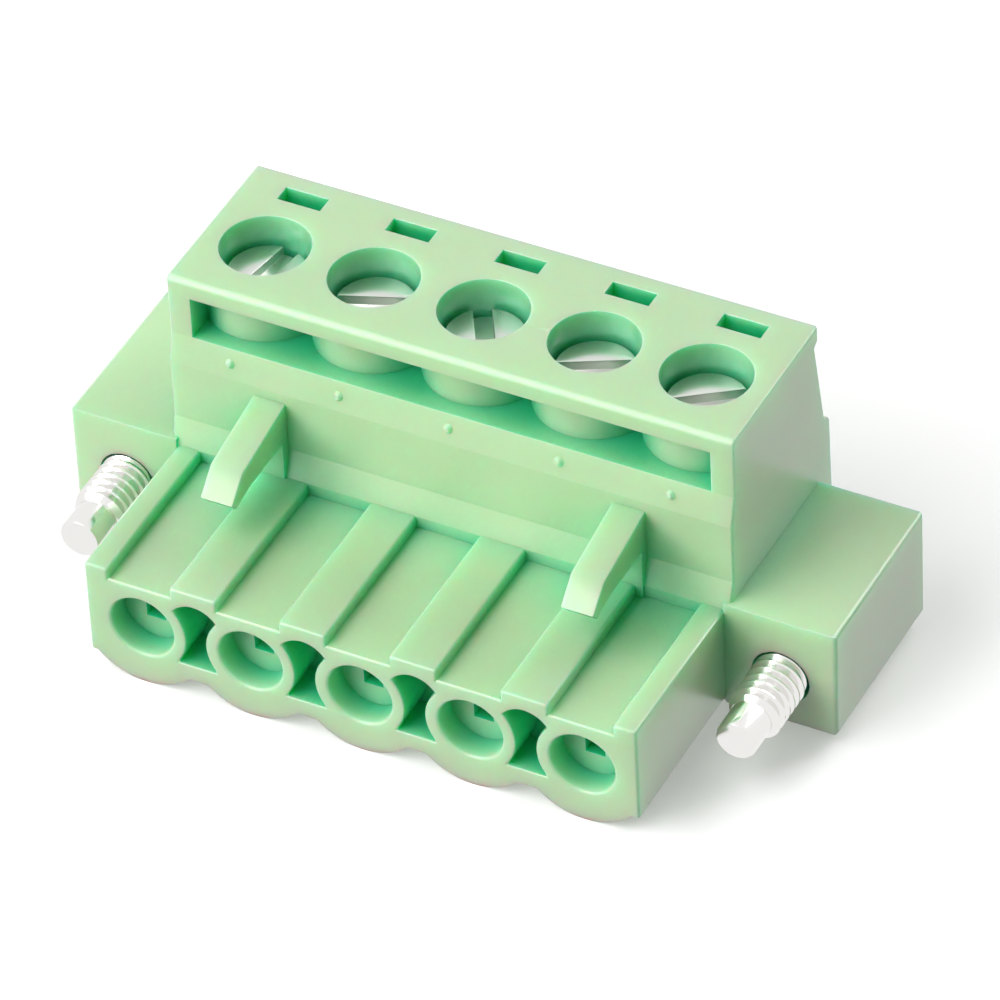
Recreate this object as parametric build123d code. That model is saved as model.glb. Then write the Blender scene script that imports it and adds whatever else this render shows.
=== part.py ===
"""Five-pole pluggable terminal block plug with two screw flanges, in millimetres.

The poles lie along X, the mating face looks towards -Y and the wire entries towards +Y.
The plug stands on the round bellies of its sockets, at Z = 0, and the clamp screws are driven from above.
"""
import math
import os
from build123d import *

# Working lengths that leave no mark: a cut runs past the face that it opens, joined solids
# run into each other, and an edge is looked for this near to its plane
overrun = 1.0
lap = 0.1
near = 0.01

# Row of poles
pole_count = 5
pitch = 5.08

# Whole housing: heights are measured from the flat underside of the plug section
depth = 18.0
belly = 0.87
socket_rise = 2.10
body_height = 13.34

# Plug section that enters the header
section_length = 8.2
deck_height = 4.80
channel_width = 2.9
channel_depth = 0.58
rib_edge_chamfer = 0.12
section_edge_chamfer = 0.12
belly_corner_radius = 0.15

# Sockets in the mating face and the pockets between them
socket_bore_diameter = 2.95
socket_bore_depth = 1.27
mouth_chamfer = 0.12
pin_web = 0.8
pin_hole_width = 0.9
socket_tube_wall = 0.6
pocket_depth = 2.0
pocket_floor = 0.8
pocket_shoulder = 3.5
pocket_crown = 0.56
pocket_corner_chamfer = 0.1
pocket_chamfer = 0.08

# Tall body: front wall from the deck upwards
side_step = 0.3
foot_slope = 0.37
lower_crease = 6.07
upper_crease = 8.97
window_sill = 10.37
window_head = 12.43
sill_setback = 0.30
window_frame = 1.05
top_edge_radius = 0.3
body_edge_chamfer = 0.09
pip_diameter = 0.46
pip_height = 0.16
pip_draft = 40.0

# Tall body: rear wall from the top downwards, as insets from the rearmost plane
rim_inset = 1.13
rim_thickness = 0.72
waist_inset = 1.43
waist_drop = 0.2
lap_inset = 0.64
lap_height = 8.0
lap_step = 0.38

# Round wells of the clamp screws and the slots behind them
screw_inset = 5.69
well_diameter = 3.88
rim_chamfer = 0.05
boss_wall = 0.76
shoulder_thickness = 0.8
shoulder_clearance = 0.08
shoulder_play = 0.05
slot_length = 2.0
slot_width = 0.81
slot_depth = 2.6
slot_rear_wall = 1.92

# Screw flanges
flange_reach = 5.08
flange_height = 5.15
flange_drop = 0.2
flange_depth = 8.55
flange_proud = 0.1
flange_edge_radius = 0.2

# Latch arms moulded to the front wall, outside the second and the last but one rib; reach is
# measured forward from the wall
arm_offset = 0.68
arm_width = 1.5
arm_root_height = 8.55
arm_knee_reach = 3.85
arm_knee_height = 7.75
arm_tip_reach = 4.89
arm_tip_height = 6.73
arm_nose_height = 6.3
arm_nose_reach = 4.54
arm_belly_reach = 3.2
arm_belly_height = 6.6
arm_gusset = 0.5
arm_edge_chamfer = 0.05

# Clamp screws
clamp_screw_diameter = 3.0
clamp_head_diameter = 3.46
clamp_head_height = 1.6
clamp_head_recess = 1.38
clamp_slot_width = 0.8
clamp_slot_depth = 0.45
clamp_head_chamfer = 0.06
clamp_slot_angles = [81.0, 20.5, -59.0, 27.0, 35.0]

# Rising clamp cages, drawn in their lowest place
cage_width = 4.1
cage_length = 4.4
cage_side = 0.55
cage_floor = 0.6
cage_head = 1.5
cage_corner_chamfer = 0.3
cage_thread_clearance = 0.05
cage_side_clearance = 0.06
cage_end_clearance = 0.11
cage_play = 0.08
wire_gap = 2.9
grip_groove = 0.12
grip_groove_count = 3
chamber_floor = 0.5
entry_headroom = 0.15
entry_funnel = 0.22
entry_funnel_length = 0.44

# Contacts: a bar under each clamp screw, a leg down from it and two spring tines around the pin
bar_width = 2.6
bar_thickness = 0.8
bar_overhang = 0.3
leg_clearance = 0.05
leg_drop = 1.05
tine_thickness = 0.35
tine_height = 1.9
tine_spread = 0.7
tine_clearance = 0.06
tine_pinch = 0.34
tine_end_gap = 0.3
tine_mouth_length = 1.1
tine_ramp_length = 2.2

# Captive flange screws
flange_thread_diameter = 2.44
flange_dog_diameter = 1.82
flange_dog_length = 1.5
flange_dog_chamfer = 0.12
flange_tip_reach = 4.27
flange_neck_diameter = 2.0
flange_head_diameter = 3.5
flange_head_height = 1.6
flange_head_recess = 0.6
flange_slot_width = 0.6
flange_slot_depth = 0.8
flange_slot_angle = 30.0
flange_bore_clearance = 0.09
flange_lip_clearance = 0.05
flange_mouth_depth = 1.0
flange_head_clearance = 0.1
flange_thread_entry = 0.1
flange_head_play = 0.05

# Places worked out from the sizes above
front_y = -depth / 2
back_y = depth / 2
flat_z = belly
pin_z = belly + socket_rise
deck_z = flat_z + deck_height
top_z = flat_z + body_height
underside_z = flat_z - flange_drop
section_width = pole_count * pitch
body_width = section_width + 2 * side_step
foot_y = front_y + section_length
wall_y = foot_y + foot_slope
sill_y = wall_y + sill_setback
screw_y = back_y - screw_inset
head_top_z = top_z - clamp_head_recess
head_seat_z = head_top_z - clamp_head_height
shoulder_z = head_seat_z - shoulder_play
chamber_floor_z = underside_z + chamber_floor
chamber_roof_z = shoulder_z - shoulder_thickness
cage_bottom_z = chamber_floor_z + cage_play
wire_floor_z = cage_bottom_z + cage_floor
bar_bottom_z = wire_floor_z + wire_gap
bar_top_z = bar_bottom_z + bar_thickness
cage_head_z = bar_top_z + cage_play
cage_top_z = cage_head_z + cage_head
cage_front_y = screw_y - cage_length / 2
cage_back_y = screw_y + cage_length / 2
chamber_front_y = cage_front_y - cage_end_clearance
leg_front_y = chamber_front_y - bar_thickness
web_back_y = front_y + socket_bore_depth + pin_web
arm_x = (pole_count / 2 - 1) * pitch + arm_offset
tine_room_width = 2 * (tine_spread + tine_thickness + tine_clearance)
tine_room_height = tine_height + 2 * tine_clearance
flange_front_y = foot_y - flange_proud
flange_back_y = flange_front_y + flange_depth
flange_top_z = flat_z + flange_height
flange_end_x = section_width / 2 + flange_reach
flange_screw_x = section_width / 2 + flange_reach / 2
pole_xs = [(i - (pole_count - 1) / 2) * pitch for i in range(pole_count)]
rib_xs = [(i - (pole_count - 2) / 2) * pitch for i in range(pole_count - 1)]


def block(x0, x1, y0, y1, z0, z1):
    """A square block between two opposite corners."""
    size = Box(x1 - x0, y1 - y0, z1 - z0)
    return Pos((x0 + x1) / 2, (y0 + y1) / 2, (z0 + z1) / 2) * size


def along_y(face, y0, y1):
    """An outline drawn in X and Z, carried from one Y to another."""
    return extrude(Pos(0, y1, 0) * (Plane.XZ * face), y1 - y0)


def along_x(face, x0, x1):
    """An outline drawn in Y and Z, carried from one X to another."""
    return extrude(Pos(x0, 0, 0) * (Plane.YZ * face), x1 - x0)


def along_z(face, z0, z1):
    """An outline drawn in X and Y, carried from one height to another."""
    return extrude(Pos(0, 0, z0) * face, z1 - z0)


def flare(face, chamfer_size):
    """The chamfered mouth of a hole, cut outwards from an outline that lies at the chamfer's depth."""
    return extrude(face, chamfer_size + lap, taper=-45)


def plug_section():
    """The block with a channel over each pole, whose underside follows the sockets."""
    outline = Pos(0, (flat_z + deck_z) / 2) * Rectangle(section_width, deck_z - flat_z)
    outline = fillet(outline.vertices().group_by(Axis.Y)[0], belly_corner_radius)
    solid = along_y(outline, front_y, wall_y) + along_y(bellies(flat_z), front_y, wall_y)
    for x in pole_xs:
        left = x - channel_width / 2
        right = x + channel_width / 2
        solid -= block(left, right, front_y - overrun, foot_y, deck_z - channel_depth, deck_z + overrun)
    long_edges = solid.edges().filter_by(Axis.Y)
    solid = chamfer([e for e in long_edges if e.center().Z > deck_z - near], rib_edge_chamfer)
    front = solid.edges().filter_by(Plane.XZ).filter_by_position(Axis.Y, front_y - near, front_y + near)
    rim = [e for e in front if e.center().Z > pin_z or abs(e.center().X) > section_width / 2 - near]
    return chamfer(rim, section_edge_chamfer)


def bellies(top):
    """The outline of the round underside of each socket, from where the plug stands up to a height."""
    rounds = Sketch() + [Pos(x, pin_z) * Circle(pin_z) for x in pole_xs]
    return rounds & Pos(0, top / 2) * Rectangle(section_width, top)


def tall_body():
    """The upright part that holds the clamps, with the creases of its front and rear walls."""
    points = [
        (foot_y, deck_z),
        (wall_y, flat_z + lower_crease),
        (wall_y, flat_z + upper_crease),
        (sill_y, flat_z + window_sill),
        (sill_y, top_z),
        (back_y - rim_inset, top_z),
        (back_y - rim_inset, top_z - rim_thickness),
        (back_y - waist_inset, top_z - rim_thickness - waist_drop),
        (back_y - lap_inset, flat_z + lap_height),
        (back_y - lap_inset + lap_step, flat_z + lap_height - waist_drop),
        (back_y, underside_z),
        (foot_y, underside_z),
    ]
    profile = make_face(Polyline(*points, close=True))
    top_front = profile.vertices().sort_by(Axis.Y)[-2:].sort_by(Axis.X)[0]
    profile = fillet(top_front, top_edge_radius)
    solid = along_x(profile, -body_width / 2, body_width / 2)
    ends = solid.faces().filter_by(Axis.X)
    rim = [e for e in ends.edges() if e.center().Z > deck_z]
    solid = chamfer(rim, body_edge_chamfer)
    return solid + along_y(bellies(underside_z), foot_y, back_y)


def flange(side):
    """One screw flange, a square block beside the tall body."""
    inner = side * (body_width / 2 - side_step)
    outer = side * flange_end_x
    left = min(inner, outer)
    right = max(inner, outer)
    solid = block(left, right, flange_front_y, flange_back_y, underside_z, flange_top_z)
    end = solid.faces().sort_by(Axis.X)[-1 if side > 0 else 0]
    return fillet(end.edges(), flange_edge_radius)


def flange_bore(side):
    """The stepped hole that lets a flange screw turn but keeps it captive."""
    x = side * flange_screw_x
    mouth = flange_thread_diameter / 2 + flange_bore_clearance
    lip = flange_neck_diameter / 2 + flange_lip_clearance
    head = flange_head_diameter / 2 + flange_head_clearance
    lip_y = flange_front_y + flange_mouth_depth
    head_y = flange_back_y - flange_head_recess - flange_head_height - flange_head_play
    stages = [
        (mouth, flange_front_y - overrun, lip_y),
        (lip, lip_y - lap, head_y + lap),
        (head, head_y, flange_back_y + overrun),
    ]
    return Part() + [along_y(Pos(x, pin_z) * Circle(r), y0, y1) for r, y0, y1 in stages]


def latch_arm(x):
    """One hook-ended arm, rooted in the front wall above the deck."""
    root_y = sill_y
    points = [
        (root_y, flat_z + arm_root_height),
        (wall_y - arm_knee_reach, flat_z + arm_knee_height),
        (wall_y - arm_tip_reach, flat_z + arm_tip_height),
        (wall_y - arm_nose_reach, flat_z + arm_nose_height),
        (wall_y - arm_belly_reach, flat_z + arm_belly_height),
        (wall_y - arm_gusset, flat_z + arm_belly_height),
        (wall_y - arm_gusset, deck_z - channel_depth),
        (root_y, deck_z - channel_depth),
    ]
    profile = make_face(Polyline(*points, close=True))
    solid = along_x(profile, x - arm_width / 2, x + arm_width / 2)
    outer = [e for e in solid.edges() if e.center().Y < wall_y - arm_gusset and e.center().Z > deck_z]
    flanks = [e for e in outer if abs(e.center().X - x) > arm_width / 2 - near]
    upper = [e for e in flanks if e.center().Z > flat_z + arm_nose_height + arm_edge_chamfer]
    return chamfer(upper, arm_edge_chamfer)


def window_recess():
    """The long window under the top plate, which stops at the round screw bosses."""
    half = body_width / 2 - window_frame
    recess = block(-half, half, sill_y - overrun, screw_y, flat_z + window_sill, flat_z + window_head)
    boss_radius = well_diameter / 2 + boss_wall
    for x in pole_xs:
        recess -= along_z(Pos(x, screw_y) * Circle(boss_radius), 0, top_z)
    return recess


def pocket_outline(x, growth):
    """The outline of a pocket, a slot between two socket tubes under an arch, grown all round."""
    tube = socket_bore_diameter / 2 + socket_tube_wall
    spring_z = flat_z + pocket_shoulder
    reach = pitch / 2 - math.sqrt(tube ** 2 - (spring_z - pin_z) ** 2)
    arch_radius = (reach ** 2 + pocket_crown ** 2) / (2 * pocket_crown)
    arch_z = spring_z + pocket_crown - arch_radius
    floor_z = flat_z + pocket_floor - growth
    face = Pos(x, (floor_z + arch_z) / 2) * Rectangle(pitch, arch_z - floor_z)
    face += Pos(x, arch_z) * Circle(arch_radius + growth)
    for side in (-1, 1):
        face -= Pos(x + side * pitch / 2, pin_z) * Circle(tube - growth)
    return chamfer(face.vertices().group_by(Axis.Y)[0], pocket_corner_chamfer)


def pocket(x):
    """A blind pocket between two socket tubes, chamfered at its mouth."""
    narrow = pocket_outline(x, 0)
    wide = pocket_outline(x, pocket_chamfer + lap)
    flare = loft([
        Pos(0, front_y + pocket_chamfer, 0) * (Plane.XZ * narrow),
        Pos(0, front_y - lap, 0) * (Plane.XZ * wide),
    ], ruled=True)
    return flare + along_y(narrow, front_y - overrun, front_y + pocket_depth)


def socket(x):
    """The round mouth, the square pin hole and the room of the spring tines, for one pole."""
    bore = Pos(x, pin_z) * Circle(socket_bore_diameter / 2)
    hole = Pos(x, pin_z) * Rectangle(pin_hole_width, pin_hole_width)
    room = Pos(x, pin_z) * Rectangle(tine_room_width, tine_room_height)
    web_front_y = front_y + socket_bore_depth
    stages = along_y(bore, front_y - overrun, web_front_y) + along_y(room, web_back_y, leg_front_y + lap)
    stages += flare(Pos(0, front_y + mouth_chamfer, 0) * (Plane.XZ * bore), mouth_chamfer)
    return stages + along_y(hole, web_front_y - lap, web_back_y + lap)


def chamber(x):
    """The room for one cage, its wire entry from the rear and the pocket for the contact's leg."""
    half = cage_width / 2 + cage_side_clearance
    back = cage_back_y + cage_side_clearance
    room = block(x - half, x + half, chamber_front_y, back, chamber_floor_z, chamber_roof_z)
    entry_top = cage_top_z + entry_headroom
    room += block(x - half, x + half, back - lap, back_y + overrun, chamber_floor_z, entry_top)
    throat = Pos(x, (chamber_floor_z + entry_top) / 2) * Rectangle(2 * half, entry_top - chamber_floor_z)
    growth = entry_funnel * (1 + overrun / entry_funnel_length)
    mouth = offset(throat, growth, kind=Kind.INTERSECTION)
    funnel = loft([
        Pos(0, back_y - entry_funnel_length, 0) * (Plane.XZ * throat),
        Pos(0, back_y + overrun, 0) * (Plane.XZ * mouth),
    ])
    leg = bar_width / 2 + leg_clearance
    low = pin_z - leg_drop - leg_clearance
    high = bar_top_z + leg_clearance
    slot = block(x - leg, x + leg, leg_front_y - leg_clearance, chamber_front_y + lap, low, high)
    return room + funnel + slot


def screw_well(x):
    """The round well down to the shoulder, and the hole for the shank."""
    outline = Pos(x, screw_y) * Circle(well_diameter / 2)
    well = along_z(outline, shoulder_z, top_z + overrun)
    well += flare(Pos(0, 0, top_z - rim_chamfer) * outline, rim_chamfer)
    shank = clamp_screw_diameter / 2 + shoulder_clearance
    return well + along_z(Pos(x, screw_y) * Circle(shank), chamber_roof_z - lap, shoulder_z + lap)


def marker_slot(x):
    """The small blind slot in the top, behind a screw well."""
    outline = Pos(x, back_y - slot_rear_wall - slot_width / 2) * Rectangle(slot_length, slot_width)
    slot = along_z(outline, top_z - slot_depth, top_z + overrun)
    return slot + flare(Pos(0, 0, top_z - rim_chamfer) * outline, rim_chamfer)


def pip(x):
    """A small round pip with drafted sides, on the sloping band under the window."""
    band = Plane(
        origin=(x, (wall_y + sill_y) / 2, flat_z + (window_sill + upper_crease) / 2),
        x_dir=(1, 0, 0),
        z_dir=(0, upper_crease - window_sill, sill_setback),
    )
    stud = extrude(band * Circle(pip_diameter / 2), pip_height, taper=pip_draft)
    return stud + extrude(band * Circle(pip_diameter / 2), -lap)


def housing():
    """The one-piece moulded housing."""
    solid = plug_section() + tall_body() + flange(-1) + flange(1)
    solid += [latch_arm(side * arm_x) for side in (-1, 1)]
    solid += [pip(x) for x in pole_xs]
    solid -= window_recess()
    solid -= [pocket(x) for x in rib_xs]
    for x in pole_xs:
        solid -= [socket(x), chamber(x), screw_well(x), marker_slot(x)]
    solid -= [flange_bore(side) for side in (-1, 1)]
    return solid


def clamp_screw(x, slot_angle):
    """A slotted cheese-head screw that turns in its well and bears on the contact bar."""
    head = along_z(Circle(clamp_head_diameter / 2), head_seat_z, head_top_z)
    head = chamfer(head.faces().sort_by(Axis.Z)[-1].edges(), clamp_head_chamfer)
    shank = along_z(Circle(clamp_screw_diameter / 2), bar_top_z, head_seat_z)
    slot = Box(2 * clamp_head_diameter, clamp_slot_width, clamp_slot_depth)
    slot = Rot(Z=slot_angle) * Pos(0, 0, head_top_z - clamp_slot_depth / 2) * slot
    return Pos(x, screw_y, 0) * (head + shank - slot)


def clamp_cage(x):
    """A rectangular ring with a threaded head, which the screw draws up under the bar."""
    middle = (cage_bottom_z + cage_top_z) / 2
    outside = Pos(x, middle) * Rectangle(cage_width, cage_top_z - cage_bottom_z)
    outside = chamfer(outside.vertices(), cage_corner_chamfer)
    inside = Pos(x, (wire_floor_z + cage_head_z) / 2) * Rectangle(
        cage_width - 2 * cage_side, cage_head_z - wire_floor_z)
    ring = along_y(outside - inside, cage_front_y, cage_back_y)
    thread = Pos(x, screw_y) * Circle(clamp_screw_diameter / 2 + cage_thread_clearance)
    ring -= along_z(thread, cage_head_z - lap, cage_top_z + lap)
    step = cage_length / (grip_groove_count + 1)
    half = cage_width / 2 - cage_side
    for i in range(grip_groove_count):
        y = cage_front_y + (i + 1) * step
        vee = [
            (y - grip_groove, wire_floor_z),
            (y + grip_groove, wire_floor_z),
            (y, wire_floor_z - grip_groove),
        ]
        ring -= along_x(make_face(Polyline(*vee, close=True)), x - half, x + half)
    return ring


def contact(x):
    """The bar under the screw, its leg, and two spring tines that grip the header's pin."""
    left = x - bar_width / 2
    right = x + bar_width / 2
    bar = block(left, right, leg_front_y, cage_back_y + bar_overhang, bar_bottom_z, bar_top_z)
    leg = block(left, right, leg_front_y, leg_front_y + bar_thickness, pin_z - leg_drop, bar_top_z)
    end_y = web_back_y + tine_end_gap
    pinch_y = end_y + tine_mouth_length
    ramp_y = pinch_y + tine_ramp_length
    solid = bar + leg
    for side in (-1, 1):
        line = [
            (x + side * tine_spread, end_y),
            (x + side * tine_pinch, pinch_y),
            (x + side * tine_spread, ramp_y),
            (x + side * tine_spread, leg_front_y + bar_thickness / 2),
        ]
        outer = [(px + side * tine_thickness, py) for px, py in reversed(line)]
        tine = make_face(Polyline(*line, *outer, close=True))
        solid += along_z(tine, pin_z - tine_height / 2, pin_z + tine_height / 2)
    return solid


def flange_screw(side):
    """A captive screw: slotted head, thin neck, threaded end and a plain dog point."""
    tip_y = flange_front_y - flange_tip_reach
    thread_y = tip_y + flange_dog_length
    neck_y = flange_front_y + flange_thread_entry
    seat_y = flange_back_y - flange_head_recess - flange_head_height
    head_y = flange_back_y - flange_head_recess
    dog = flange_dog_diameter / 2
    profile = make_face(Polyline(
        (0, tip_y),
        (dog - flange_dog_chamfer, tip_y),
        (dog, tip_y + flange_dog_chamfer),
        (dog, thread_y),
        (flange_thread_diameter / 2, thread_y),
        (flange_thread_diameter / 2, neck_y),
        (flange_neck_diameter / 2, neck_y),
        (flange_neck_diameter / 2, seat_y),
        (flange_head_diameter / 2, seat_y),
        (flange_head_diameter / 2, head_y),
        (0, head_y),
        close=True,
    ))
    screw = revolve(profile, Axis.Y)
    slot = Box(2 * flange_head_diameter, flange_slot_depth, flange_slot_width)
    slot = Rot(Y=flange_slot_angle * side) * Pos(0, head_y - flange_slot_depth / 2, 0) * slot
    return Pos(side * flange_screw_x, 0, pin_z) * (screw - slot)


def save(name, solid):
    """Write one node."""
    solid.label = name
    export_step(solid, f"parts/{name}.step")


os.makedirs("parts", exist_ok=True)
save("housing", housing())
for i, x in enumerate(pole_xs):
    save(f"clamp_screw_{i + 1}", clamp_screw(x, clamp_slot_angles[i % len(clamp_slot_angles)]))
    save(f"clamp_cage_{i + 1}", clamp_cage(x))
    save(f"contact_{i + 1}", contact(x))
save("flange_screw_left", flange_screw(-1))
save("flange_screw_right", flange_screw(1))
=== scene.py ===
import math

import bpy
from mathutils import Matrix, Vector


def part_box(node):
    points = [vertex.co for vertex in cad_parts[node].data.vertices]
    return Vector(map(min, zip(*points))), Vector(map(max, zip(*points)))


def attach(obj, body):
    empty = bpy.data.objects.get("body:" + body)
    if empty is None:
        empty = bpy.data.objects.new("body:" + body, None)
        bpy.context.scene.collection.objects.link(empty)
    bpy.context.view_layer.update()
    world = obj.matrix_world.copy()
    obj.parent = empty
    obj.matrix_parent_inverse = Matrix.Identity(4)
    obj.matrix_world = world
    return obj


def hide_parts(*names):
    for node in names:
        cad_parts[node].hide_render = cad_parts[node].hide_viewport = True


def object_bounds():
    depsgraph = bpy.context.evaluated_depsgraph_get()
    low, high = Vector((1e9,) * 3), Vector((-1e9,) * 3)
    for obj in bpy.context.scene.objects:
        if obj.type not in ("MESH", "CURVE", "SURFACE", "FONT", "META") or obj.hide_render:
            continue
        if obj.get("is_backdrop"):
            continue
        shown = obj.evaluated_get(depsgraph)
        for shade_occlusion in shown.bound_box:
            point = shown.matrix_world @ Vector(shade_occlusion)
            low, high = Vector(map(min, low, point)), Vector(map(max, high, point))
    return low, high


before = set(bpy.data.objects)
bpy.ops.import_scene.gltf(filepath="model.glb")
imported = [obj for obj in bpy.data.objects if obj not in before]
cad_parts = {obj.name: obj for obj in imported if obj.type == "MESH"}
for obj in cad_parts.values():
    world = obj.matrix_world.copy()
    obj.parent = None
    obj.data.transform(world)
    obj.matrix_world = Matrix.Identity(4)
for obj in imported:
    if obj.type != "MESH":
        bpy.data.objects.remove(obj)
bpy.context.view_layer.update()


# Housing. One moulding of light green polyamide with everything on it: the plug section, the
# tall clamp body, the latch arms and the two screw flanges. The plastic is satin, lets a little
# light through, and has the fine grain of a spark-eroded mould.
mm = 0.001
weld = 0.001 * mm
flat_turn = math.radians(0.5)
crease_turn = math.radians(8)
edge_turn = math.radians(50)
broad_face = 3 * mm ** 2


def take(node, name):
    """A finished copy of a moulded piece: flat faces whole, creases sharp, curves and broken edges smooth."""
    bpy.ops.object.select_all(action="DESELECT")
    piece = bpy.data.objects.new(name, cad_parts[node].data.copy())
    bpy.context.scene.collection.objects.link(piece)
    bpy.context.view_layer.objects.active = piece
    piece.select_set(True)
    bpy.ops.mesh.customdata_custom_splitnormals_clear()
    bpy.ops.object.mode_set(mode="EDIT")
    bpy.ops.mesh.select_all(action="SELECT")
    bpy.ops.mesh.remove_doubles(threshold=weld)
    bpy.ops.mesh.dissolve_limited(angle_limit=flat_turn)
    bpy.ops.mesh.select_all(action="DESELECT")
    bpy.ops.object.mode_set(mode="OBJECT")
    bpy.ops.object.shade_smooth_by_angle(angle=edge_turn)
    beside = {}
    for face in piece.data.polygons:
        for pair in face.edge_keys:
            beside.setdefault(pair, []).append(face)
    for edge in piece.data.edges:
        faces = beside[edge.key]
        turn = faces[0].normal.angle(faces[-1].normal)
        edge.select = turn > crease_turn and min(face.area for face in faces) > broad_face
    bpy.ops.object.mode_set(mode="EDIT")
    bpy.ops.mesh.mark_sharp()
    bpy.ops.object.mode_set(mode="OBJECT")
    even = piece.modifiers.new("even", "WEIGHTED_NORMAL")
    even.keep_sharp = True
    even.weight = 100
    bpy.ops.object.modifier_apply(modifier=even.name)
    return piece


def add_node(tree, kind, **settings):
    """A shader node; a setting named like a socket sets that socket."""
    node = tree.nodes.new("ShaderNode" + kind)
    for name, value in settings.items():
        if name in node.inputs:
            node.inputs[name].default_value = value
        else:
            setattr(node, name, value)
    return node


def new_material(name):
    """A material with only its output and a Principled shader in it."""
    material = bpy.data.materials.new(name)
    material.use_nodes = True
    tree = material.node_tree
    return material, tree, tree.nodes["Principled BSDF"]


light_green = (0.510, 0.720, 0.430, 1.0)
pale_green = (0.535, 0.740, 0.450, 1.0)
# Painted shade: a deep green that is mixed into the colour in corners and recesses, and how far the occlusion
# that drives it reaches.
painted_shade_green = (0.04, 0.58, 0.30, 1.0)
painted_shade_reach = 4.5 * mm
scatter_depth = 1.6 * mm


def green_plastic():
    """Light green polyamide: two close greens in soft clouds, with painted shade that turns it deep green in
    corners and recesses, and a fine grain.
    """
    material, tree, shader = new_material("green_plastic")
    place = add_node(tree, "TexCoord")
    clouds = add_node(tree, "TexNoise", Scale=220.0, Detail=3.0)
    tint = add_node(tree, "ValToRGB")
    tint.color_ramp.elements[0].position = 0.35
    tint.color_ramp.elements[0].color = light_green
    tint.color_ramp.elements[1].position = 0.65
    tint.color_ramp.elements[1].color = pale_green
    # Painted shade: ambient occlusion from the housing itself mixes the deep green into the base colour in
    # corners and recesses.
    shade_occlusion = add_node(tree, "AmbientOcclusion", Distance=painted_shade_reach, samples=4, only_local=True)
    painted_shade_mask = add_node(tree, "MapRange", interpolation_type="SMOOTHSTEP")
    painted_shade_mask.inputs["From Min"].default_value = 0.20
    painted_shade_mask.inputs["From Max"].default_value = 0.85
    painted_shade_mix = add_node(tree, "Mix", data_type="RGBA")
    painted_shade_mix.inputs["A"].default_value = painted_shade_green
    grain = add_node(tree, "TexNoise", Scale=9000.0, Detail=2.0)
    gloss = add_node(tree, "MapRange")
    gloss.inputs["To Min"].default_value = 0.30
    gloss.inputs["To Max"].default_value = 0.42
    bump = add_node(tree, "Bump", Strength=0.25, Distance=0.004 * mm)
    tree.links.new(place.outputs["Object"], clouds.inputs["Vector"])
    tree.links.new(place.outputs["Object"], grain.inputs["Vector"])
    tree.links.new(clouds.outputs["Fac"], tint.inputs["Fac"])
    tree.links.new(grain.outputs["Fac"], gloss.inputs["Value"])
    tree.links.new(grain.outputs["Fac"], bump.inputs["Height"])
    tree.links.new(shade_occlusion.outputs["AO"], painted_shade_mask.inputs["Value"])
    tree.links.new(painted_shade_mask.outputs["Result"], painted_shade_mix.inputs["Factor"])
    tree.links.new(tint.outputs["Color"], painted_shade_mix.inputs["B"])
    tree.links.new(painted_shade_mix.outputs["Result"], shader.inputs["Base Color"])
    tree.links.new(gloss.outputs["Result"], shader.inputs["Roughness"])
    tree.links.new(bump.outputs["Normal"], shader.inputs["Normal"])
    shader.inputs["IOR"].default_value = 1.5
    shader.inputs["Coat Weight"].default_value = 1.0
    shader.inputs["Coat Roughness"].default_value = 0.28
    shader.inputs["Coat IOR"].default_value = 1.45
    shader.inputs["Subsurface Weight"].default_value = 1.0
    shader.inputs["Subsurface Radius"].default_value = (0.12, 1.0, 0.6)
    shader.inputs["Subsurface Scale"].default_value = scatter_depth
    return material


housing = take("housing", "moulded_housing")
housing.data.materials.clear()
housing.data.materials.append(green_plastic())
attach(housing, "housing")
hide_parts("housing")


# Clamp screws. Five M3 slotted cheese-head screws, turned from steel and zinc plated. Each
# stands at the bottom of its well with its tip on the contact's bar, its slot left at some angle.
def draw_line(name, points):
    """An open line, drawn point by point."""
    bpy.ops.object.select_all(action="DESELECT")
    bpy.ops.mesh.primitive_plane_add(size=mm, location=points[0])
    line = bpy.context.active_object
    line.name = name
    bpy.ops.object.mode_set(mode="EDIT")
    bpy.ops.mesh.select_all(action="SELECT")
    bpy.ops.mesh.merge(type="CENTER")
    for here, there in zip(points, points[1:]):
        step = Vector(there) - Vector(here)
        bpy.ops.mesh.extrude_region_move(TRANSFORM_OT_translate={"value": step})
    bpy.ops.object.mode_set(mode="OBJECT")
    bpy.ops.object.transform_apply(location=True, rotation=True, scale=True)
    return line


def turned(name, outline, sides):
    """A solid of revolution about Z; the outline runs from the axis back to the axis."""
    piece = draw_line(name, [(r, 0, z) for r, z in outline])
    bpy.ops.object.mode_set(mode="EDIT")
    bpy.ops.mesh.select_all(action="SELECT")
    bpy.ops.mesh.spin(steps=sides, angle=2 * math.pi, center=(0, 0, 0), axis=(0, 0, 1))
    bpy.ops.mesh.select_all(action="SELECT")
    bpy.ops.mesh.remove_doubles(threshold=weld)
    bpy.ops.mesh.normals_make_consistent(inside=False)
    bpy.ops.object.mode_set(mode="OBJECT")
    return piece


thread_depth_share = 0.6134
thread_flank_angle = math.radians(30)


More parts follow.
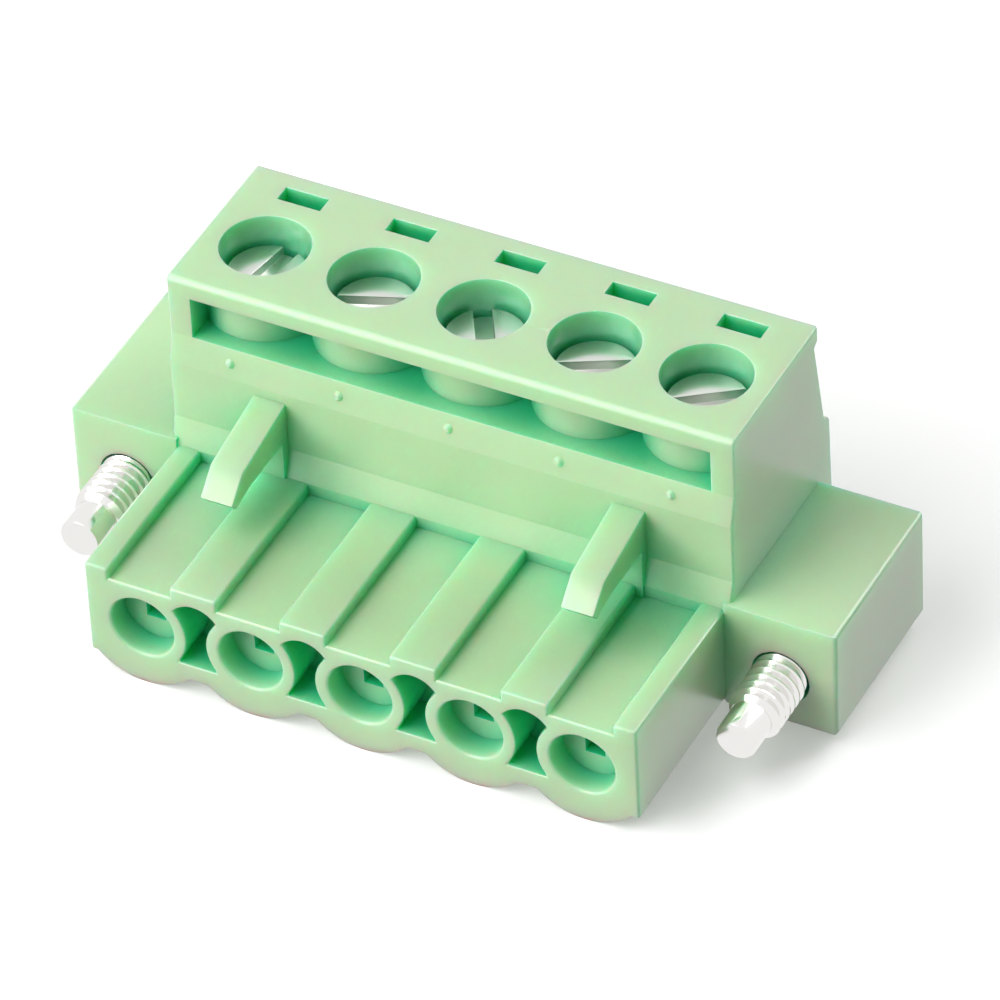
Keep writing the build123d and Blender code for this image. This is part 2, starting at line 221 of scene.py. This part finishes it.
def thread(name, radius, pitch, low, high, sides):
    """A rod with a sixty-degree thread along Z, cut off square at both ends."""
    depth = thread_depth_share * pitch
    flank = depth * math.tan(thread_flank_angle)
    crest = pitch / 8
    root = pitch - 2 * flank - crest
    start = low - pitch
    line = draw_line(name, [
        (radius - depth, 0, start),
        (radius - depth, 0, start + root),
        (radius, 0, start + root + flank),
        (radius, 0, start + root + flank + crest),
        (radius - depth, 0, start + pitch),
    ])
    turns = line.modifiers.new("turns", "SCREW")
    turns.angle = 2 * math.pi
    turns.screw_offset = pitch
    turns.iterations = math.ceil((high - low) / pitch) + 2
    turns.steps = sides
    turns.render_steps = sides
    turns.use_merge_vertices = True
    turns.merge_threshold = weld
    bpy.ops.object.modifier_apply(modifier=turns.name)
    bpy.ops.object.mode_set(mode="EDIT")
    bpy.ops.mesh.select_all(action="SELECT")
    bpy.ops.mesh.remove_doubles(threshold=weld)
    for height, side in ((low, -1), (high, 1)):
        bpy.ops.mesh.select_all(action="SELECT")
        bpy.ops.mesh.bisect(
            plane_co=(0, 0, height), plane_no=(0, 0, side), use_fill=True, clear_outer=True,
            threshold=0.0001 * mm,
        )
    bpy.ops.mesh.select_all(action="SELECT")
    bpy.ops.mesh.normals_make_consistent(inside=False)
    bpy.ops.object.mode_set(mode="OBJECT")
    return line


def combine(piece, other, operation):
    """Unites a piece with another, cuts it or trims it, and removes the other."""
    bpy.ops.object.select_all(action="DESELECT")
    bpy.context.view_layer.objects.active = piece
    piece.select_set(True)
    cut = piece.modifiers.new("cut", "BOOLEAN")
    cut.operation = operation
    cut.object = other
    cut.solver = "EXACT"
    bpy.ops.object.modifier_apply(modifier=cut.name)
    bpy.data.objects.remove(other)


def ease_edges(piece, width):
    """Breaks the sharp edges and shades the turned faces smoothly."""
    bpy.ops.object.select_all(action="DESELECT")
    bpy.context.view_layer.objects.active = piece
    piece.select_set(True)
    edge = piece.modifiers.new("edge", "BEVEL")
    edge.width = width
    edge.segments = 2
    edge.limit_method = "ANGLE"
    edge.angle_limit = math.radians(50)
    bpy.ops.object.modifier_apply(modifier=edge.name)
    bpy.ops.object.shade_smooth_by_angle(angle=math.radians(35))


def slot_cutter(width, depth, length, top):
    """The block that a screw head's slot is cut with."""
    bpy.ops.object.select_all(action="DESELECT")
    bpy.ops.mesh.primitive_cube_add(size=1, location=(0, 0, top), scale=(length, width, 2 * depth))
    return bpy.context.active_object


def plated_metal(name, colour, rough_low, rough_high, centre_axis):
    """Plated metal with the fine rings that turning leaves, and faint clouds in the plating."""
    material, tree, shader = new_material(name)
    place = add_node(tree, "TexCoord")
    clouds = add_node(tree, "TexNoise", Scale=900.0, Detail=4.0)
    gloss = add_node(tree, "MapRange")
    gloss.inputs["To Min"].default_value = rough_low
    gloss.inputs["To Max"].default_value = rough_high
    rings = add_node(tree, "TexNoise", Scale=26000.0, Detail=1.0)
    stretch = add_node(tree, "Mapping")
    stretch.inputs["Scale"].default_value = centre_axis
    bump = add_node(tree, "Bump", Strength=0.3, Distance=0.0015 * mm)
    tree.links.new(place.outputs["Object"], clouds.inputs["Vector"])
    tree.links.new(place.outputs["Object"], stretch.inputs["Vector"])
    tree.links.new(stretch.outputs["Vector"], rings.inputs["Vector"])
    tree.links.new(clouds.outputs["Fac"], gloss.inputs["Value"])
    tree.links.new(rings.outputs["Fac"], bump.inputs["Height"])
    tree.links.new(gloss.outputs["Result"], shader.inputs["Roughness"])
    tree.links.new(bump.outputs["Normal"], shader.inputs["Normal"])
    shader.inputs["Base Color"].default_value = colour
    shader.inputs["Metallic"].default_value = 1.0
    return material


slot_cut_length = 5 * mm
broken_edge = 0.03 * mm
turned_smoothness = math.radians(35)
clamp_head_height = 1.6 * mm
clamp_head_radius = 1.73 * mm
clamp_radius = 1.48 * mm
clamp_pitch = 0.5 * mm
clamp_slot_width = 0.8 * mm
clamp_slot_depth = 0.45 * mm
clamp_angles = [81.0, 20.5, -59.0, 27.0, 35.0]
clamp_low, clamp_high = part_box("clamp_screw_3")
clamp_length = clamp_high.z - clamp_low.z
clamp_axis_y = (clamp_low.y + clamp_high.y) / 2

clamp_seat = clamp_length - clamp_head_height
clamp_model = turned("clamp_model", [
    (0, clamp_seat),
    (clamp_head_radius, clamp_seat),
    (clamp_head_radius, clamp_length - 0.06 * mm),
    (clamp_head_radius - 0.02 * mm, clamp_length - 0.02 * mm),
    (clamp_head_radius - 0.06 * mm, clamp_length),
    (0, clamp_length),
], 96)
clamp_slot = slot_cutter(clamp_slot_width, clamp_slot_depth, slot_cut_length, clamp_length)
combine(clamp_model, clamp_slot, "DIFFERENCE")
ease_edges(clamp_model, broken_edge)
shank = thread("clamp_thread", clamp_radius, clamp_pitch, 0, clamp_seat + 0.2 * mm, 64)
point = turned("clamp_point", [
    (0, 0),
    (clamp_radius - 0.12 * mm, 0),
    (clamp_radius + 0.02 * mm, 0.14 * mm),
    (clamp_radius + 0.02 * mm, clamp_seat + 0.3 * mm),
    (0, clamp_seat + 0.3 * mm),
], 64)
combine(shank, point, "INTERSECT")
combine(clamp_model, shank, "UNION")
bpy.ops.object.shade_smooth_by_angle(angle=turned_smoothness)

zinc = plated_metal("zinc_plate", (0.72, 0.72, 0.69, 1.0), 0.22, 0.38, (1, 1, 0.02))
for number, angle in enumerate(clamp_angles, 1):
    low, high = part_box(f"clamp_screw_{number}")
    screw = bpy.data.objects.new(f"clamp_screw_{number}_turned", clamp_model.data.copy())
    bpy.context.scene.collection.objects.link(screw)
    centre = Vector(((low.x + high.x) / 2, clamp_axis_y, low.z))
    screw.data.transform(Matrix.Translation(centre) @ Matrix.Rotation(math.radians(angle), 4, "Z"))
    screw.data.materials.append(zinc)
    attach(screw, f"clamp_screw_{number}")
    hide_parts(f"clamp_screw_{number}")
bpy.data.objects.remove(clamp_model)


# Flange screws. Two captive M2.5 screws, turned from steel and nickel plated bright: a slotted
# head in the flange's rear pocket, a thin neck through its lip, a short thread and a dog point.
flange_pitch = 0.45 * mm
flange_radius = 1.22 * mm
flange_dog_radius = 0.91 * mm
flange_dog_length = 1.5 * mm
flange_thread_length = 2.87 * mm
flange_neck_radius = 1.0 * mm
flange_head_radius = 1.75 * mm
flange_head_height = 1.6 * mm
flange_slot_width = 0.6 * mm
flange_slot_depth = 0.8 * mm
flange_slot_angle = 30.0
flange_low, flange_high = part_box("flange_screw_right")
flange_length = flange_high.y - flange_low.y
flange_seat = flange_length - flange_head_height
flange_neck_start = flange_dog_length + flange_thread_length

flange_model = turned("flange_model", [
    (0, 0),
    (flange_dog_radius - 0.12 * mm, 0),
    (flange_dog_radius - 0.035 * mm, 0.035 * mm),
    (flange_dog_radius, 0.12 * mm),
    (flange_dog_radius, flange_dog_length + 0.2 * mm),
    (flange_neck_radius - 0.12 * mm, flange_dog_length + 0.2 * mm),
    (flange_neck_radius - 0.12 * mm, flange_neck_start - 0.2 * mm),
    (flange_neck_radius, flange_neck_start - 0.2 * mm),
    (flange_neck_radius, flange_seat),
    (flange_head_radius, flange_seat),
    (flange_head_radius, flange_length - 0.1 * mm),
    (flange_head_radius - 0.03 * mm, flange_length - 0.03 * mm),
    (flange_head_radius - 0.1 * mm, flange_length),
    (0, flange_length),
], 96)
flange_slot = slot_cutter(flange_slot_width, flange_slot_depth, slot_cut_length, flange_length)
combine(flange_model, flange_slot, "DIFFERENCE")
ease_edges(flange_model, broken_edge)
shank = thread("flange_thread", flange_radius, flange_pitch, flange_dog_length, flange_neck_start, 96)
point = turned("flange_point", [
    (0, flange_dog_length - 0.1 * mm),
    (flange_dog_radius, flange_dog_length - 0.02 * mm),
    (flange_radius + 0.01 * mm, flange_dog_length + 0.30 * mm),
    (flange_radius + 0.01 * mm, flange_neck_start - 0.1 * mm),
    (flange_neck_radius, flange_neck_start + 0.1 * mm),
    (0, flange_neck_start + 0.1 * mm),
], 96)
combine(shank, point, "INTERSECT")
combine(flange_model, shank, "UNION")
bpy.ops.object.shade_smooth_by_angle(angle=turned_smoothness)

nickel = plated_metal("nickel_plate", (0.86, 0.85, 0.83, 1.0), 0.10, 0.20, (1, 0.02, 1))
for side, sign in (("left", -1), ("right", 1)):
    low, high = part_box(f"flange_screw_{side}")
    screw = bpy.data.objects.new(f"flange_screw_{side}_turned", flange_model.data.copy())
    bpy.context.scene.collection.objects.link(screw)
    centre = Vector(((low.x + high.x) / 2, low.y, (low.z + high.z) / 2))
    turn = Matrix.Rotation(math.radians(flange_slot_angle * sign), 4, "Y")
    stand = Matrix.Rotation(math.radians(-90), 4, "X")
    screw.data.transform(Matrix.Translation(centre) @ turn @ stand)
    screw.data.materials.append(nickel)
    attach(screw, f"flange_screw_{side}")
    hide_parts(f"flange_screw_{side}")
bpy.data.objects.remove(flange_model)


# Clamp cages. Five rectangular rings of nickel-plated brass, each with a threaded head and a
# grooved floor, which the screw draws up against the contact's bar.
cage_plate = plated_metal("cage_plate", (0.74, 0.72, 0.66, 1.0), 0.25, 0.40, (1, 0.05, 1))
for number in range(1, 6):
    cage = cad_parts[f"clamp_cage_{number}"]
    cage.data.materials.clear()
    cage.data.materials.append(cage_plate)


# Contacts. Five one-piece stampings of tin-plated copper alloy, pressed into the housing: the
# bar under the screw, the leg, and the two spring tines behind the pin hole.
tin = plated_metal("tin_plate", (0.80, 0.79, 0.76, 1.0), 0.28, 0.45, (1, 0.05, 1))
for number in range(1, 6):
    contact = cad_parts[f"contact_{number}"]
    contact.data.materials.clear()
    contact.data.materials.append(tin)


# Floor. A white studio table that the plug stands on, large enough to fill the view. Seen by the
# camera it keeps the plug's shadow, and in reflections it is plain white.
bpy.ops.object.select_all(action="DESELECT")
bpy.ops.mesh.primitive_plane_add(size=6.0, location=(0, 0, 0))
floor = bpy.context.active_object
floor.name = "studio_floor"
floor_material, tree, shader = new_material("white_table")
shader.inputs["Base Color"].default_value = (0.86, 0.86, 0.86, 1.0)
shader.inputs["Roughness"].default_value = 0.6
shader.inputs["Specular IOR Level"].default_value = 0.2
eye = add_node(tree, "LightPath")
glow = add_node(tree, "Emission", Strength=0.30)
white = add_node(tree, "Emission", Strength=1.0)
both = add_node(tree, "AddShader")
pick = add_node(tree, "MixShader")
mirror = add_node(tree, "MixShader")
surface = tree.nodes["Material Output"].inputs["Surface"]
tree.links.new(shader.outputs["BSDF"], both.inputs[0])
tree.links.new(glow.outputs["Emission"], both.inputs[1])
tree.links.new(eye.outputs["Is Camera Ray"], pick.inputs["Fac"])
tree.links.new(eye.outputs["Is Glossy Ray"], mirror.inputs["Fac"])
tree.links.new(pick.outputs["Shader"], mirror.inputs[1])
tree.links.new(white.outputs["Emission"], mirror.inputs[2])
dim = add_node(tree, "BsdfDiffuse", Color=(0.40, 0.40, 0.40, 1.0))
tree.links.new(dim.outputs["BSDF"], pick.inputs[1])
tree.links.new(both.outputs["Shader"], pick.inputs[2])
tree.links.new(mirror.outputs["Shader"], surface)
floor.data.materials.append(floor_material)
floor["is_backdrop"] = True


# Light. One broad lamp high on the left in front, a low one under it that lights the fronts, one
# behind on the right, and a white studio around them that is dimmer on the right.
def area_lamp(name, size, power, azimuth, elevation, distance):
    """A square lamp that looks at the plug, placed by its direction and distance from it."""
    a, e = math.radians(azimuth), math.radians(elevation)
    back = Vector((math.sin(a) * math.cos(e), -math.cos(a) * math.cos(e), math.sin(e)))
    data = bpy.data.lights.new(name, "AREA")
    data.size = size
    data.energy = power
    lamp = bpy.data.objects.new(name, data)
    lamp.location = back * distance
    lamp.rotation_euler = back.to_track_quat("Z", "Y").to_euler()
    bpy.context.scene.collection.objects.link(lamp)


area_lamp("key_lamp", 0.40, 1.75, -43, 46, 0.40)
area_lamp("back_lamp", 0.20, 0.58, 154, 40, 0.35)
area_lamp("low_lamp", 0.20, 0.45, -30, 12, 0.35)

world = bpy.data.worlds.new("studio")
world.use_nodes = True
tree = world.node_tree
sky = tree.nodes["Background"]
sky.inputs["Color"].default_value = (1.0, 1.0, 1.0, 1.0)
eye = add_node(tree, "LightPath")
seen = add_node(tree, "Math", operation="MAXIMUM")
place = add_node(tree, "TexCoord")
parts = add_node(tree, "SeparateXYZ")
shade = add_node(tree, "MapRange")
shade.inputs["From Min"].default_value = -0.4
shade.inputs["From Max"].default_value = 0.5
shade.inputs["To Min"].default_value = 0.16
shade.inputs["To Max"].default_value = 0.02
level = add_node(tree, "MapRange")
level.inputs["To Max"].default_value = 1.0
tree.links.new(place.outputs["Generated"], parts.inputs["Vector"])
tree.links.new(parts.outputs["X"], shade.inputs["Value"])
tree.links.new(shade.outputs["Result"], level.inputs["To Min"])
tree.links.new(eye.outputs["Is Camera Ray"], seen.inputs[0])
tree.links.new(eye.outputs["Is Glossy Ray"], seen.inputs[1])
tree.links.new(seen.outputs["Value"], level.inputs["Value"])
tree.links.new(level.outputs["Result"], sky.inputs["Strength"])
bpy.context.scene.world = world


# Camera. A long lens that looks down on the plug's front right corner from a third of a metre,
# tilted a little to the left.
view_azimuth = math.radians(28.80)
view_elevation = math.radians(40.77)
view_roll = math.radians(-3.045)
view_distance = 353.9 * mm
view_target = Vector((2.50, -0.71, 7.90)) * mm
focal_length_px = 8615.8
frame_px = 1000

back = Vector((
    math.sin(view_azimuth) * math.cos(view_elevation),
    -math.cos(view_azimuth) * math.cos(view_elevation),
    math.sin(view_elevation),
))
lens = bpy.data.cameras.new("camera")
lens.sensor_width = 36.0
lens.lens = lens.sensor_width * focal_length_px / frame_px
lens.clip_start = 0.01
lens.clip_end = 10.0
camera = bpy.data.objects.new("camera", lens)
place = Matrix.Translation(view_target + back * view_distance)
upright = back.to_track_quat("Z", "Y").to_matrix().to_4x4()
camera.matrix_world = place @ upright @ Matrix.Rotation(view_roll, 4, "Z")
bpy.context.scene.collection.objects.link(camera)
bpy.context.scene.camera = camera
bpy.context.scene.view_settings.view_transform = "Standard"

low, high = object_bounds()
